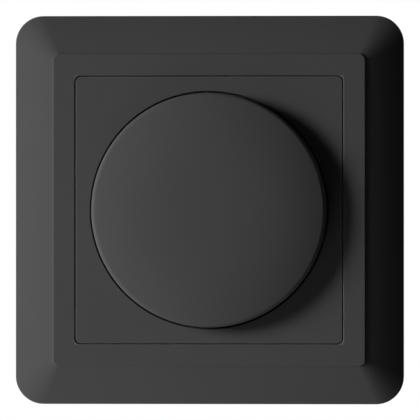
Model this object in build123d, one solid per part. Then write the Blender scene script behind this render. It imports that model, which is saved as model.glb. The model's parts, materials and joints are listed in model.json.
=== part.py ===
from build123d import *

import math
import os

# Flush rotary dimmer with a push switch: a square cover frame, a square centre plate and a large
# round knob in front of the wall, and the dimmer insert behind it. All sizes are in millimetres.
#
# The pieces are modelled lying on the bench, front upwards: Z is the height in front of the wall
# plane, and what is below zero sits in the wall box. The last step stands everything up, so that
# the knob faces -Y, +Z is up and the wall plane is at Y = 0.

# Support plate, which the wall box's screw spacing sets
box_screw_spacing = 60.0
box_screw_edge = 5.5
support_size = box_screw_spacing + 2 * box_screw_edge
support_thickness = 1.2
support_cut = 7.0
support_corner = 1.5
slot_width = 4.2
slot_length = 7.0
slot_arc = 16.0
keyhole_radius = 3.8
screw_head_room = 9.0
screw_head_height = 3.2

# Centre plate
plate_size = 55.0
plate_corner = 1.0
plate_edge = 2.0
plate_round = 0.12
joint_line = 0.2
skirt_wall = 1.3
skirt_drop = 2.4
well_wall = 1.3
well_floor = 1.2
plate_rib = 1.0
edge_break = 0.15

# Cover frame, which hides the support plate and surrounds the centre plate
frame_margin = 4.8
frame_size = support_size + 2 * frame_margin
frame_corner = 5.8
frame_height = 8.0
frame_side = 2.8
frame_bulge = 0.3
frame_round = 0.8
frame_wall = 1.8
field_border = 4.35
field_corner = 1.1
field_step = 0.42
field_step_run = 0.4
ring_wall = 1.4
ledge_width = 1.7
ledge_thickness = 1.4
frame_rib = 1.1
frame_rib_place = 18.0

# Knob
knob_margin = 3.3
knob_radius = plate_size / 2 - knob_margin
knob_gap = 0.3
knob_rise = 6.8
knob_drop = 1.4
knob_crown = 2.7
knob_draft = 0.1
knob_round = 1.1
knob_foot_round = 0.3
knob_wall = 1.6
knob_roof = 1.9
knob_ribs = 8
knob_rib = 1.0
hub_radius = 5.2
hub_lift = 0.4
hub_slit = 0.8
grip_wire = 0.5
grip_width = 1.8

# Spindle and how it is held
push_travel = 1.5
spindle_radius = 3.0
spindle_tail = 0.55
spindle_flat = 4.5
spindle_key = 4.6
spindle_grip = 4.6
run_gap = 0.05
fit_gap = 0.03
bush_radius = 5.0
bush_flange_radius = 6.0
bush_flange = 1.2
bush_end = 0.4
turned_chamfer = 0.4
clip_radius = 4.4
clip_groove = 0.6
clip_mouth = 4.2
clip_thickness = 0.5
clip_room = 0.15

# Nuts and washer on the bush
washer_radius = 8.0
washer_thickness = 0.6
washer_teeth = 12
washer_notch = 0.9
lock_nut_across = 14.0
lock_nut_height = 1.6
lock_nut_reach = 7.85
ring_nut_radius = 8.4
ring_nut_height = 1.6
ring_nut_notches = 6
ring_nut_notch = 1.2

# Push switch
switch_width = 17.2
switch_height = 6.95
switch_wall = 0.9
switch_floor = 1.0
plunger_radius = 4.0
plunger_collar = 5.4
plunger_height = 2.55
plunger_collar_height = 0.8
plunger_cup = 2.9
bridge_thickness = 0.4
bridge_arm = 2.5
bridge_inset = 1.3
bridge_reach = switch_width / 2 - bridge_inset
contact_width = 2.0
contact_thickness = 0.5
spring_wire = 0.5
spring_radius = 2.3
spring_turns = 4

# Potentiometer, whose legs stand on both sides of the switch
can_wall = 0.6
can_front = 0.8
can_leg = 5.0
leg_room = 0.3
can_radius = switch_width / 2 + leg_room + can_wall
stop_room = 1.4
rotor_radius = can_radius - can_wall - stop_room
rotor_rim = 1.2
rotor_thickness = 2.2
rotor_stop_reach = 1.1
can_stop_reach = 1.3
stop_width = 2.6
wiper_reach = 0.6
track_gap = 0.1
track_thickness = 0.15
track_radius = 5.6
track_width = 1.8
track_opening = 60.0
wafer_thickness = 1.2
wafer_tongue = 13.0
tongue_step = 2.3
wafer_tongue_reach = can_radius + tongue_step
pin_pitch = 5.0
pin_width = 1.0
pin_thickness = 0.4
pin_head = (1.6, 1.2)

# Triac and its fixing to the support plate
can_room = 1.5
triac_width = 10.0
triac_body = 9.2
triac_height = 4.4
triac_lift = 0.4
triac_place = (-(can_radius + can_room + triac_width / 2), triac_lift)
tab_length = 6.3
tab_thickness = 1.3
tab_hole = 1.8
tab_hole_drop = 2.8
pad_thickness = 0.25
pad_margin = 0.6
triac_pitch = 2.54
triac_lead_drop = 2.6
triac_lead_reach = 3.05
triac_chamfer = 0.55
m3_radius = 1.5
m3_head_radius = 2.75
m3_head = 1.8
m3_nut_across = 5.5
m3_nut_height = 2.4

# Housing, wide enough for the triac beside the potentiometer
wall_room = 0.8
housing_wall = 1.6
housing_size = 2 * (pad_margin + triac_width / 2 - triac_place[0] + wall_room + housing_wall)
housing_cut = 10.0
housing_corner = 1.2
board_ledge = 1.0
boss_inset = 2.0
boss_place = (housing_size - housing_cut) / 2 - boss_inset
boss_radius = 2.9
screw_radius = 1.45
screw_length = 9.0
screw_head_radius = 2.7
screw_head = 1.9
vent_count = 5
vent_width = 1.4
vent_length = 14.0
vent_pitch = 3.4

# Circuit board
board_thickness = 1.6
board_gap = 0.2
lead_radius = 0.35
lead_hole = 0.5
lead_tail = 0.8

# Terminals
poles = 3
pole_pitch = 7.5
block_height = 8.6
block_depth = 12.0
block_margin = 0.5
block_wall = 1.0
wire_way = 4.6
way_flare = 0.8
well_flare = 0.4
cage_wall = 0.7
cage_way = 4.4
cage_depth = 5.0
cage_gap = 0.1
terminal_screw_head = 2.3
terminal_screw_head_height = 1.5
terminal_screw_radius = 1.45
terminal_screw_bite = 0.63
terminal_screw_slot = 0.6
terminal_screw_chamfer = 0.3

# Parts on the board
film_size = (7.0, 13.0, 11.0)
film_room = 2.0
film_place = (can_radius + film_room + film_size[0] / 2, 3.5)
film_pitch = 10.0
timing_size = (7.5, 3.0, 6.2)
timing_place = (triac_place[0], -11.0)
timing_pitch = 5.0
resistor_radius = 1.2
resistor_pitch = 3.0
resistor_place = (triac_place[0], 3.2)
resistor_length = 6.4
resistor_span = 10.2
diac_radius = 1.0
diac_room = 2.1
diac_place = (triac_place[0], resistor_place[1] + resistor_span / 2 + diac_radius + diac_room)
diac_length = 4.2
diac_span = 7.6
trimmer_size = 7.0
trimmer_room = 1.9
trimmer_place = (
    can_radius + can_room + trimmer_size / 2,
    film_place[1] - film_size[1] / 2 - trimmer_room - trimmer_size / 2,
)
trimmer_height = 4.0
trimmer_dial = 2.8
trimmer_dial_height = 1.0
trimmer_stem = 1.6
fuse_length = 20.0
fuse_radius = 2.5
fuse_cap_radius = 2.65
fuse_cap_length = 5.0
fuse_glass_wall = 0.6
fuse_wire_radius = 0.2
fuse_clip_wall = 0.4
fuse_clip_width = 4.0
fuse_clip_lip = 0.54
fuse_clip_rise = 0.6
fuse_cap_bottom = 0.65
fuse_lift = 0.8
fuse_room = 2.8
fuse_place = housing_size / 2 - housing_wall - fuse_room - fuse_cap_radius - run_gap - fuse_clip_wall

# Choke
core_outer = 6.2
core_inner = 3.3
core_width = 5.4
winding_wire = 0.85
winding_turns = 15
winding_arc = 285.0
choke_room = 1.9
choke_place = -(wafer_tongue_reach + choke_room + winding_wire + run_gap + core_width / 2)

# Places along the depth, worked out from the pieces that stack there
z_washer = support_thickness
z_lock_nut = z_washer + washer_thickness
z_well = z_lock_nut + lock_nut_height
z_ring_nut = z_well + well_floor
z_bush_top = z_ring_nut + ring_nut_height + bush_end
z_plate = frame_height - plate_edge
z_crest = frame_height - field_step
z_knob = frame_height - knob_drop
z_knob_top = frame_height + knob_rise
z_hub = z_bush_top + push_travel + hub_lift
z_grip = z_hub + hub_lift
z_spindle_top = z_hub + spindle_grip
z_bush_low = -(can_front + bush_flange)
z_clip = z_bush_low - run_gap
z_rotor = z_clip - clip_thickness - push_travel - clip_room
z_rotor_low = z_rotor - rotor_thickness
z_track = z_rotor_low - wiper_reach - track_gap
z_wafer = z_track - track_thickness
z_switch = z_wafer - wafer_thickness
z_board = z_switch - switch_height
z_board_rear = z_board - board_thickness
z_rear = z_board_rear - block_height
z_spindle_low = z_switch - spindle_tail

# Widths worked out from what they surround
opening_size = plate_size + 2 * joint_line
field_size = opening_size + 2 * field_border
well_radius = knob_radius + knob_gap


def slab(sketch, z_low, z_high):
    """A sketch made solid between two heights."""
    return extrude(Pos(0, 0, z_low) * sketch, z_high - z_low)


def rod(x, y, z_low, z_high, radius):
    """A round upright rod or hole."""
    return Pos(x, y, 0) * slab(Circle(radius), z_low, z_high)


def block(x, y, width, depth, z_low, z_high):
    """An upright block centred on x and y."""
    return Pos(x, y, 0) * slab(Rectangle(width, depth), z_low, z_high)


def rounded_square(size, corner):
    return RectangleRounded(size, size, corner)


def ring(outer, inner, z_low, z_high):
    return slab(Circle(outer) - Circle(inner), z_low, z_high)


def one_flat(radius, across):
    """A round section with one flat, as on a D-shaped spindle."""
    return Circle(radius) & Pos(0, across / 2 - radius) * Rectangle(3 * radius, across)


def two_flats(radius, across):
    return Circle(radius) & Rectangle(3 * radius, across)


def bent_wire(points, radius, bend):
    """A round wire along straight runs with rounded bends."""
    path = FilletPolyline(*points, radius=bend)
    return sweep(Plane(origin=path @ 0, z_dir=path % 0) * Circle(radius), path=path)


def housing_outline(inset=0.0):
    """The insert's octagon, which fits a round wall box."""
    outer = chamfer(Rectangle(housing_size, housing_size).vertices(), housing_cut)
    if inset:
        return offset(outer, -inset, kind=Kind.INTERSECTION)
    return fillet(outer.vertices(), housing_corner)


def corners(place):
    return [(sx * place, sy * place) for sx in (-1, 1) for sy in (-1, 1)]


# Cover frame


def opening_tool(sketch, wider, z_low):
    """An opening through to the front, with its front edge broken."""
    z_break = frame_height - edge_break
    return slab(sketch, z_low, frame_height) + loft([Pos(0, 0, z_break) * sketch, Pos(0, 0, frame_height) * wider])


def frame_outside():
    """Upright side, long slightly bulging slope and the small step that lifts the square field."""
    foot = rounded_square(frame_size, frame_corner)
    crest_size = field_size + 2 * field_step_run
    crest_corner = field_corner + field_step_run
    crest = rounded_square(crest_size, crest_corner)
    middle = rounded_square((frame_size + crest_size) / 2, (frame_corner + crest_corner) / 2)
    z_middle = (frame_side + z_crest) / 2 + frame_bulge
    levels = ((foot, frame_side), (middle, z_middle), (crest, z_crest))
    body = slab(foot, 0, frame_side)
    body += loft([Pos(0, 0, z) * outline for outline, z in levels])
    shoulder = body.edges().filter_by_position(Axis.Z, frame_side - edge_break, frame_side + edge_break)
    body = fillet(shoulder, frame_round)
    field = rounded_square(field_size, field_corner)
    return body + loft([Pos(0, 0, z_crest) * crest, Pos(0, 0, frame_height) * field], ruled=True)


def frame_cavity():
    """The hollow behind the slope, one wall thickness inside it."""
    foot = rounded_square(frame_size - 2 * frame_wall, frame_corner - frame_wall)
    roof = rounded_square(field_size - joint_line, field_corner)
    z_foot = frame_side - frame_wall / 3
    z_roof = frame_height - frame_wall
    return slab(foot, 0, z_foot) + loft([Pos(0, 0, z_foot) * foot, Pos(0, 0, z_roof) * roof], ruled=True)


def cover_frame():
    corner = plate_corner + joint_line
    opening = rounded_square(opening_size, corner)
    opening_front = rounded_square(opening_size + 2 * edge_break, corner + edge_break)
    ring_outline = rounded_square(opening_size + 2 * ring_wall, corner + ring_wall)
    ledge_inside = rounded_square(opening_size - 2 * ledge_width, corner)
    cavity = frame_cavity()
    z_rib = support_thickness + joint_line
    ribs = Part()
    for place in (-frame_rib_place, frame_rib_place):
        ribs += block(0, place, frame_size, frame_rib, z_rib, frame_height)
        ribs += block(place, 0, frame_rib, frame_size, z_rib, frame_height)
    frame = frame_outside() - cavity + (ribs & cavity)
    frame += slab(ring_outline, support_thickness, frame_height)
    frame -= opening_tool(opening, opening_front, 0)
    frame += slab(opening - ledge_inside, z_plate - ledge_thickness, z_plate)
    reach = box_screw_spacing / 2
    z_room = support_thickness + screw_head_height
    for x, y in ((reach, 0), (-reach, 0), (0, reach), (0, -reach)):
        frame -= block(x, y, screw_head_room, screw_head_room, support_thickness, z_room)
    return frame


# Centre plate


def centre_plate():
    """Square cover with a round well for the knob, whose floor the ring nut clamps."""
    skirt_size = opening_size - 2 * ledge_width - 2 * joint_line
    skirt = rounded_square(skirt_size, plate_corner)
    skirt_inside = rounded_square(skirt_size - 2 * skirt_wall, plate_corner / 2)
    plate = slab(rounded_square(plate_size, plate_corner), z_plate, frame_height)
    plate = fillet(plate.edges().group_by(Axis.Z)[-1], plate_round)
    plate += slab(skirt - skirt_inside, z_plate - skirt_drop, z_plate)
    for angle in (45, 135):
        rib = Rot(0, 0, angle) * Rectangle(2 * skirt_size, plate_rib) & skirt_inside
        plate += slab(rib, z_plate - skirt_drop * 2 / 3, z_plate)
    plate += rod(0, 0, z_well, z_plate, well_radius + well_wall)
    plate -= opening_tool(Circle(well_radius), Circle(well_radius + edge_break), z_ring_nut)
    return plate - rod(0, 0, z_well, frame_height, bush_radius + 4 * run_gap)


# Knob and what moves with it


def knob_outline(wall=0.0, roof=0.0, corner=knob_round):
    """Half section of the knob, or of its hollow when a wall and a roof are given.

    The face is nearly flat in the middle and falls away faster towards the rim.
    """
    reach = knob_radius - knob_draft - wall
    crown = []
    for part in (0, 0.25, 0.5, 0.75, 1):
        crown.append((part * reach, z_knob_top - roof - knob_crown * part**3))
    fall = (1, -3 * knob_crown / reach)
    outline = Spline(*crown, tangents=((1, 0), fall))
    outline += Polyline(crown[-1], (knob_radius - wall, z_knob), (0, z_knob), crown[0])
    face = make_face(outline)
    rim = face.vertices().sort_by_distance(Vector(*crown[-1]))[0]
    return fillet(rim, corner)


def knob():
    """Crowned cap with a thin skirt, a slit hub for the D-shaped spindle and radial ribs."""
    outline = knob_outline()
    foot = outline.vertices().sort_by_distance(Vector(knob_radius, z_knob))[0]
    hollow = revolve(Plane.XZ * knob_outline(knob_wall, knob_roof, knob_round / 2), Axis.Z)
    shell = revolve(Plane.XZ * fillet(foot, knob_foot_round), Axis.Z) - hollow
    z_ribs = z_grip + grip_width + fit_gap * 4
    inside = rod(0, 0, z_hub, z_knob_top, hub_radius)
    for turn in range(knob_ribs):
        spoke = Pos(knob_radius / 2, 0) * Rectangle(knob_radius, knob_rib)
        inside += slab(Rot(0, 0, turn * 360 / knob_ribs) * spoke, z_ribs, z_knob_top)
    shell += inside & hollow
    bore = one_flat(spindle_radius + fit_gap, spindle_flat + 2 * fit_gap)
    shell -= slab(bore, z_hub, z_spindle_top + run_gap)
    for angle in (45, 135):
        slit = Rot(0, 0, angle) * Rectangle(3 * hub_radius, hub_slit)
        shell -= slab(slit & Circle(hub_radius + grip_wire), z_hub, z_ribs)
    return shell


def grip_ring():
    """Open steel ring that squeezes the slit hub onto the spindle."""
    outer = hub_radius + fit_gap + grip_wire
    section = Circle(outer) - Circle(hub_radius + fit_gap)
    section -= Pos(0, -outer) * Rectangle(2 * hub_slit, 2 * hub_radius)
    return slab(section, z_grip, z_grip + grip_width)


def spindle():
    """D-shaped for the knob, round in the bush, keyed in the rotor and grooved for its clip."""
    shaft = slab(one_flat(spindle_radius, spindle_flat), z_hub - hub_lift / 2, z_spindle_top)
    shaft = chamfer(shaft.edges().group_by(Axis.Z)[-1], turned_chamfer)
    shaft += rod(0, 0, z_clip - clip_thickness, z_hub - hub_lift / 2, spindle_radius)
    shaft += slab(two_flats(spindle_radius, spindle_key), z_spindle_low, z_clip - clip_thickness)
    return shaft - ring(2 * spindle_radius, spindle_radius - clip_groove, z_clip - clip_thickness, z_clip)


def spindle_clip():
    """Open ring in the spindle's groove, which stops it against the bush."""
    section = Circle(clip_radius) - Circle(spindle_radius - clip_groove + fit_gap)
    section -= Pos(0, clip_radius) * Rectangle(clip_mouth, 2 * clip_radius)
    return slab(section, z_clip - clip_thickness, z_clip)


# Bush, nuts and washer


def bush():
    """Turned brass bush that guides the spindle and carries both nuts."""
    body = rod(0, 0, z_bush_low, -can_front, bush_flange_radius)
    neck = rod(0, 0, -can_front, z_bush_top, bush_radius)
    neck = chamfer(neck.edges().group_by(Axis.Z)[-1], turned_chamfer)
    return body + neck - rod(0, 0, z_bush_low, z_bush_top, spindle_radius + run_gap)


def lock_washer():
    section = Circle(washer_radius) - Circle(bush_radius + run_gap)
    for tooth in range(washer_teeth):
        section -= Rot(0, 0, tooth * 360 / washer_teeth) * Pos(washer_radius, 0) * Circle(washer_notch)
    return slab(section, z_washer, z_lock_nut)


def lock_nut():
    """Flat hexagon nut that holds the potentiometer to the support plate."""
    section = RegularPolygon(lock_nut_across / 2, 6, major_radius=False) & Circle(lock_nut_reach)
    return slab(section - Circle(bush_radius + run_gap), z_lock_nut, z_well)


def ring_nut():
    """Round notched nut that clamps the centre plate."""
    section = Circle(ring_nut_radius) - Circle(bush_radius + run_gap)
    for notch in range(ring_nut_notches):
        turn = Rot(0, 0, notch * 360 / ring_nut_notches)
        section -= turn * Pos(ring_nut_radius, 0) * Circle(ring_nut_notch)
    return slab(section, z_ring_nut, z_ring_nut + ring_nut_height)


# Support plate


def support_plate():
    """Sheet-metal plate that closes the housing, cools the triac and screws to the wall box."""
    outline = chamfer(Rectangle(support_size, support_size).vertices(), support_cut)
    outline = fillet(outline.vertices(), support_corner)
    reach = box_screw_spacing / 2
    outline -= Circle(bush_radius + 2 * run_gap)
    for x in (-reach, reach):
        outline -= Pos(x, 0) * SlotOverall(slot_length, slot_width)
    for middle in (90, 270):
        path = CenterArc((0, 0), reach, middle - slot_arc / 2, slot_arc)
        outline -= SlotArc(path, slot_width)
        end = math.radians(middle + slot_arc / 2)
        outline -= Pos(reach * math.cos(end), reach * math.sin(end)) * Circle(keyhole_radius)
    for x, y in corners(boss_place):
        outline -= Pos(x, y) * Circle(screw_radius + 2 * run_gap)
    outline -= Pos(*trimmer_place) * Circle(trimmer_stem + 8 * run_gap)
    outline -= Pos(*triac_hole()) * Circle(m3_radius + 2 * run_gap)
    return slab(outline, 0, support_thickness)


def triac_hole():
    """Where the triac's tab is screwed down."""
    x, y = triac_place
    return x, y + triac_body / 2 + tab_length - tab_hole_drop


# Potentiometer


def pot_can():
    """Drawn steel can with a stop for the rotor and two legs soldered into the board."""
    can = ring(can_radius, can_radius - can_wall, z_switch, 0)
    can += rod(0, 0, -can_front, 0, can_radius)
    can -= rod(0, 0, -can_front, 0, bush_radius + fit_gap)
    stop = Pos(0, -(can_radius - can_wall)) * Rectangle(stop_width, 2 * can_stop_reach)
    can += slab(stop & Circle(can_radius - can_wall / 2), z_rotor_low, -can_front)
    tongue_way = wafer_tongue + 4 * joint_line
    can -= block(0, -can_radius, tongue_way, can_radius, z_switch, z_wafer + joint_line)
    for side in (-1, 1):
        x = side * (can_radius - can_wall / 2)
        can += block(x, 0, can_wall, can_leg, z_board_rear - lead_tail, z_wafer)
    return can


def rotor():
    """Moulded wiper carrier, keyed to the spindle, which slides through it."""
    body = ring(rotor_radius, rotor_radius - rotor_rim, z_rotor, -can_front - fit_gap * 3)
    body += rod(0, 0, z_rotor_low, z_rotor, rotor_radius)
    lug = Pos(0, rotor_radius) * Rectangle(stop_width, 2 * rotor_stop_reach)
    body += slab(lug, z_rotor_low, z_rotor)
    return body - slab(two_flats(spindle_radius + run_gap, spindle_key + 2 * run_gap), z_rotor_low, z_rotor)


def wiper():
    """Spring bronze washer with a contact finger that runs on the track."""
    washer = Circle(track_radius - track_width) - Circle(spindle_radius + 4 * run_gap)
    arm = Pos(0, track_radius / 2) * Rectangle(track_width, track_radius + track_width / 2)
    arm -= Circle(spindle_radius + 4 * run_gap)
    thickness = wiper_reach / 2
    body = slab(washer + arm, z_rotor_low - thickness, z_rotor_low)
    return body + block(0, track_radius, track_width, track_width / 2, z_rotor_low - wiper_reach, z_rotor_low)


def carbon_track():
    """Horseshoe of resistive carbon printed on the wafer."""
    horseshoe = Circle(track_radius + track_width / 2) - Circle(track_radius - track_width / 2)
    half = math.radians(track_opening / 2)
    far = 3 * track_radius
    horseshoe -= Polygon(
        (0, 0), (-far * math.sin(half), -far * math.cos(half)), (far * math.sin(half), -far * math.cos(half)),
        align=None,
    )
    return slab(horseshoe, z_wafer, z_track)


def pin_places():
    y = -(wafer_tongue_reach - pin_width)
    return [(side * pin_pitch, y) for side in (-1, 0, 1)]


def track_wafer():
    """Phenolic wafer with a tongue that holds the three pins."""
    outline = Circle(can_radius - can_wall - 2 * run_gap)
    tongue = Pos(0, -wafer_tongue_reach / 2) * Rectangle(wafer_tongue, wafer_tongue_reach)
    outline += tongue
    outline -= Circle(spindle_radius + 8 * run_gap)
    for x, y in pin_places():
        outline -= Pos(x, y) * Rectangle(pin_width + 2 * run_gap, pin_thickness + 2 * run_gap)
    return slab(outline, z_switch, z_wafer)


def pot_pins():
    """Three riveted pins from the wafer to the board."""
    pins = Part()
    for x, y in pin_places():
        pins += block(x, y, pin_width, pin_thickness, z_board_rear - lead_tail, z_wafer)
        pins += block(x, y, *pin_head, z_wafer, z_wafer + pin_thickness)
    return pins


# Push switch


def bore_radius():
    return plunger_collar + 4 * run_gap


def contact_place():
    return bridge_reach - contact_width / 2


def switch_base():
    """Moulded base with a round guide for the plunger and a slot for the contact bridge."""
    depth = 2 * (bore_radius() + switch_wall)
    base = slab(RectangleRounded(switch_width, depth, switch_wall), z_board, z_switch)
    base -= rod(0, 0, z_board + switch_floor, z_switch, bore_radius())
    slot = Rectangle(2 * bridge_reach + 8 * run_gap, bridge_arm + 8 * run_gap)
    base -= slab(slot, z_board + switch_floor, z_switch)
    leg = Rectangle(contact_width + 2 * run_gap, contact_thickness + 2 * run_gap)
    for side in (-1, 1):
        base -= slab(Pos(side * contact_place(), 0) * leg, z_board, z_board + switch_floor)
    return base


def switch_plunger():
    """Cup-shaped plunger that the spindle pushes; its collar runs in the base's guide."""
    z_top = z_spindle_low - run_gap
    z_low = z_top - plunger_height
    body = rod(0, 0, z_low, z_top, plunger_radius)
    body += rod(0, 0, z_low, z_low + plunger_collar_height, plunger_collar)
    return body - rod(0, 0, z_low, z_top - plunger_collar_height, plunger_cup)


def z_bridge():
    return z_spindle_low - run_gap - plunger_height


def contact_bridge():
    """Moving contact under the plunger's collar, open in the middle for the spring."""
    section = Circle(plunger_collar - 2 * run_gap)
    section += Rectangle(2 * bridge_reach, bridge_arm)
    return slab(section - Circle(plunger_cup + run_gap), z_bridge() - bridge_thickness, z_bridge())


def switch_contacts():
    """Two fixed contacts, which the bridge joins when the plunger is pressed."""
    z_face = z_bridge() - bridge_thickness - push_travel - run_gap
    contacts = Part()
    for side in (-1, 1):
        x = side * contact_place()
        contacts += block(x, 0, contact_width, contact_thickness, z_board_rear - lead_tail, z_face)
        contacts += block(x, 0, contact_width, bridge_arm, z_face - contact_thickness, z_face)
    return contacts


def plunger_spring():
    """Coil spring between the plunger's cup and the floor of the base."""
    z_low = z_board + switch_floor + spring_wire / 2
    z_high = z_spindle_low - run_gap - plunger_collar_height - spring_wire / 2
    height = z_high - z_low - 2 * run_gap
    path = Pos(0, 0, z_low + run_gap) * Helix(height / spring_turns, height, spring_radius)
    return sweep(Plane(origin=path @ 0, z_dir=path % 0) * Circle(spring_wire / 2), path=path)


# Housing and its screws


def block_width():
    return poles * pole_pitch + 2 * block_margin


def housing():
    """Moulded box behind the wall with corner bosses, a ledge for the board and cooling slots."""
    inside = housing_outline(housing_wall)
    body = slab(housing_outline(), z_rear, 0)
    body = fillet(body.edges().group_by(Axis.Z)[0], housing_corner / 2)
    body -= slab(inside, z_board_rear, 0)
    body -= slab(housing_outline(housing_wall + board_ledge), z_rear + housing_wall, z_board_rear)
    for x, y in corners(boss_place):
        body += rod(x, y, z_rear + housing_wall, 0, boss_radius) & slab(housing_outline(), z_rear, 0)
        body -= rod(x, y, -screw_length - support_thickness, 0, screw_radius + run_gap)
    way = block_width() + 4 * run_gap
    depth = block_depth + 2 * run_gap
    body -= block(0, (depth - housing_size) / 2, way, depth, z_rear, z_board_rear)
    first = block_depth - housing_size / 2 + vent_length
    for number in range(vent_count):
        x = (number - (vent_count - 1) / 2) * vent_pitch
        slot = SlotOverall(vent_length, vent_width, rotation=90)
        body -= Pos(x, first, 0) * slab(slot, z_rear, z_rear + housing_wall)
    return body


def housing_screws():
    """Four pan-head screws through the support plate into the bosses."""
    screws = Part()
    for x, y in corners(boss_place):
        head = rod(x, y, support_thickness, support_thickness + screw_head, screw_head_radius)
        head = fillet(head.edges().group_by(Axis.Z)[-1], screw_head / 3)
        head -= cross_slot(x, y, screw_head_radius, support_thickness + screw_head, screw_head / 2)
        screws += head
        screws += rod(x, y, support_thickness - screw_length, support_thickness, screw_radius)
    return screws


def cross_slot(x, y, radius, z_top, depth):
    """A plain cross recess sunk from a screw head's top."""
    bar = Rectangle(1.2 * radius, radius / 4) + Rectangle(radius / 4, 1.2 * radius)
    return Pos(x, y, 0) * slab(bar, z_top - depth, z_top)


# Circuit board


def pair(place, span, upright=False):
    """Two places, side by side or one above the other, with another in the middle between them."""
    x, y = place
    if upright:
        return [(x, y - span / 2), (x, y + span / 2)]
    return [(x - span / 2, y), (x + span / 2, y)]


def lead_places():
    """Every round lead that goes through the board."""
    places = pair(film_place, film_pitch, upright=True) + pair(timing_place, timing_pitch)
    for place in resistor_places():
        places += pair(place, resistor_span, upright=True)
    places += pair(diac_place, diac_span)
    return places + trimmer_leads() + choke_leads() + clip_pegs() + cage_pins()


def circuit_board():
    """Board cut to the housing's inside, notched round the bosses and drilled for every lead."""
    outline = housing_outline(housing_wall + board_gap)
    for x, y in corners(boss_place):
        outline -= Pos(x, y) * Circle(boss_radius + board_gap)
    for x, y in lead_places():
        outline -= Pos(x, y) * Circle(lead_hole)
    for x, y in triac_leads():
        outline -= Pos(x, y) * Rectangle(2 * lead_hole + run_gap, 2 * lead_hole)
    for x, y in pin_places():
        outline -= Pos(x, y) * Rectangle(pin_width + 4 * run_gap, pin_thickness + 4 * run_gap)
    for side in (-1, 1):
        slot = Rectangle(contact_width + 4 * run_gap, contact_thickness + 4 * run_gap)
        outline -= Pos(side * contact_place(), 0) * slot
        slot = Rectangle(can_wall + 4 * run_gap, can_leg + 4 * run_gap)
        outline -= Pos(side * (can_radius - can_wall / 2), 0) * slot
    return slab(outline, z_board_rear, z_board)


# Terminals


def pole_places():
    return [(number - (poles - 1) / 2) * pole_pitch for number in range(poles)]


def z_wire():
    """Height of the wire ways' middle, behind the board."""
    return z_board_rear - cage_gap - cage_wall - cage_way / 2


def cage_middle():
    """Place of the cages along the wire ways."""
    return block_depth - housing_size / 2 - cage_depth / 2 - cage_gap - block_wall


def cage_pins():
    return [(x, cage_middle() + cage_depth / 2 - lead_hole) for x in pole_places()]


def flared_way(x):
    """Square wire way from the block's lower face, wider at its mouth."""
    mouth = -housing_size / 2
    length = block_depth - cage_depth
    wide = Plane(origin=(x, mouth, z_wire()), z_dir=(0, 1, 0))
    narrow = Plane(origin=(x, mouth + way_flare, z_wire()), z_dir=(0, 1, 0))
    flare = wire_way + 2 * way_flare
    funnel = loft([wide * Rectangle(flare, flare), narrow * Rectangle(wire_way, wire_way)], ruled=True)
    middle = mouth + length / 2
    return funnel + block(x, middle, wire_way, length, z_wire() - wire_way / 2, z_wire() + wire_way / 2)


def flared_well(x, z_low):
    """Round screwdriver well from the block's rear face, down to the cage's pocket."""
    radius = terminal_screw_head + cage_gap
    well = rod(x, cage_middle(), z_rear, z_low, radius)
    rim = [Pos(0, 0, z_rear) * Circle(radius + well_flare), Pos(0, 0, z_rear + well_flare) * Circle(radius)]
    return well + Pos(x, cage_middle(), 0) * loft(rim)


def terminal_block():
    """Moulded three-pole block: wire ways from below, screw wells from behind."""
    cage = cage_way + 2 * cage_wall
    pocket = cage + 2 * cage_gap
    z_low = z_wire() - pocket / 2
    depth = block_depth
    body = block(0, (depth - housing_size) / 2, block_width(), depth, z_rear, z_board_rear)
    for x in pole_places():
        body -= block(x, cage_middle(), pocket, cage_depth + 2 * cage_gap, z_low, z_board_rear)
        body -= flared_way(x)
        body -= flared_well(x, z_low)
    return body


def clamp_cages():
    """Three plated steel cages that pull the wire against the screw."""
    cage = cage_way + 2 * cage_wall
    cages = Part()
    for x in pole_places():
        outer = block(x, cage_middle(), cage, cage_depth, z_wire() - cage / 2, z_wire() + cage / 2)
        way = block(x, cage_middle(), cage_way, 2 * cage_depth, z_wire() - cage_way / 2, z_wire() + cage_way / 2)
        thread = rod(x, cage_middle(), z_wire() - cage, z_wire(), terminal_screw_radius + run_gap)
        cages += outer - way - thread
    for x, y in cage_pins():
        cages += rod(x, y, z_wire() + cage_way / 2 + cage_wall / 2, z_board, lead_radius)
    return cages


def terminal_screws():
    """Three slotted screws, backed out as the block is delivered."""
    screws = Part()
    z_seat = z_wire() - cage_way / 2 - cage_wall - cage_gap
    for x in pole_places():
        head = rod(x, cage_middle(), z_seat - terminal_screw_head_height, z_seat, terminal_screw_head)
        head = chamfer(head.edges().group_by(Axis.Z)[0], terminal_screw_chamfer)
        z_face = z_seat - terminal_screw_head_height
        z_slot = z_face + terminal_screw_slot
        slot = block(x, cage_middle(), 3 * terminal_screw_head, terminal_screw_head / 3, z_face, z_slot)
        screws += head - slot
        z_tip = z_seat + cage_gap + terminal_screw_bite
        screws += rod(x, cage_middle(), z_seat, z_tip, terminal_screw_radius)
    return screws


# Triac and its fixing


def triac_leads():
    x, y = triac_place
    bend = y - triac_body / 2 - triac_lead_reach
    return [(x + side * triac_pitch, bend) for side in (-1, 0, 1)]


def triac_tab():
    """The triac's metal tab, which carries on under its body, with three bent leads."""
    x, y = triac_place
    slug_end = y - triac_body / 4
    tab_end = y + triac_body / 2 + tab_length
    length = tab_end - slug_end
    body = block(x, slug_end + length / 2, triac_width, length, -pad_thickness - tab_thickness, -pad_thickness)
    hole_x, hole_y = triac_hole()
    body -= rod(hole_x, hole_y, -pad_thickness - tab_thickness, 0, tab_hole)
    z_lead = -pad_thickness - triac_lead_drop
    width = 2 * lead_radius
    for lead_x, lead_y in triac_leads():
        run = y - triac_body / 2 - lead_y
        body += block(lead_x, lead_y + run / 2, width, run + width, z_lead - lead_radius, z_lead + lead_radius)
        body += block(lead_x, lead_y, width, width, z_board_rear - lead_tail, z_lead)
    return body


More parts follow.
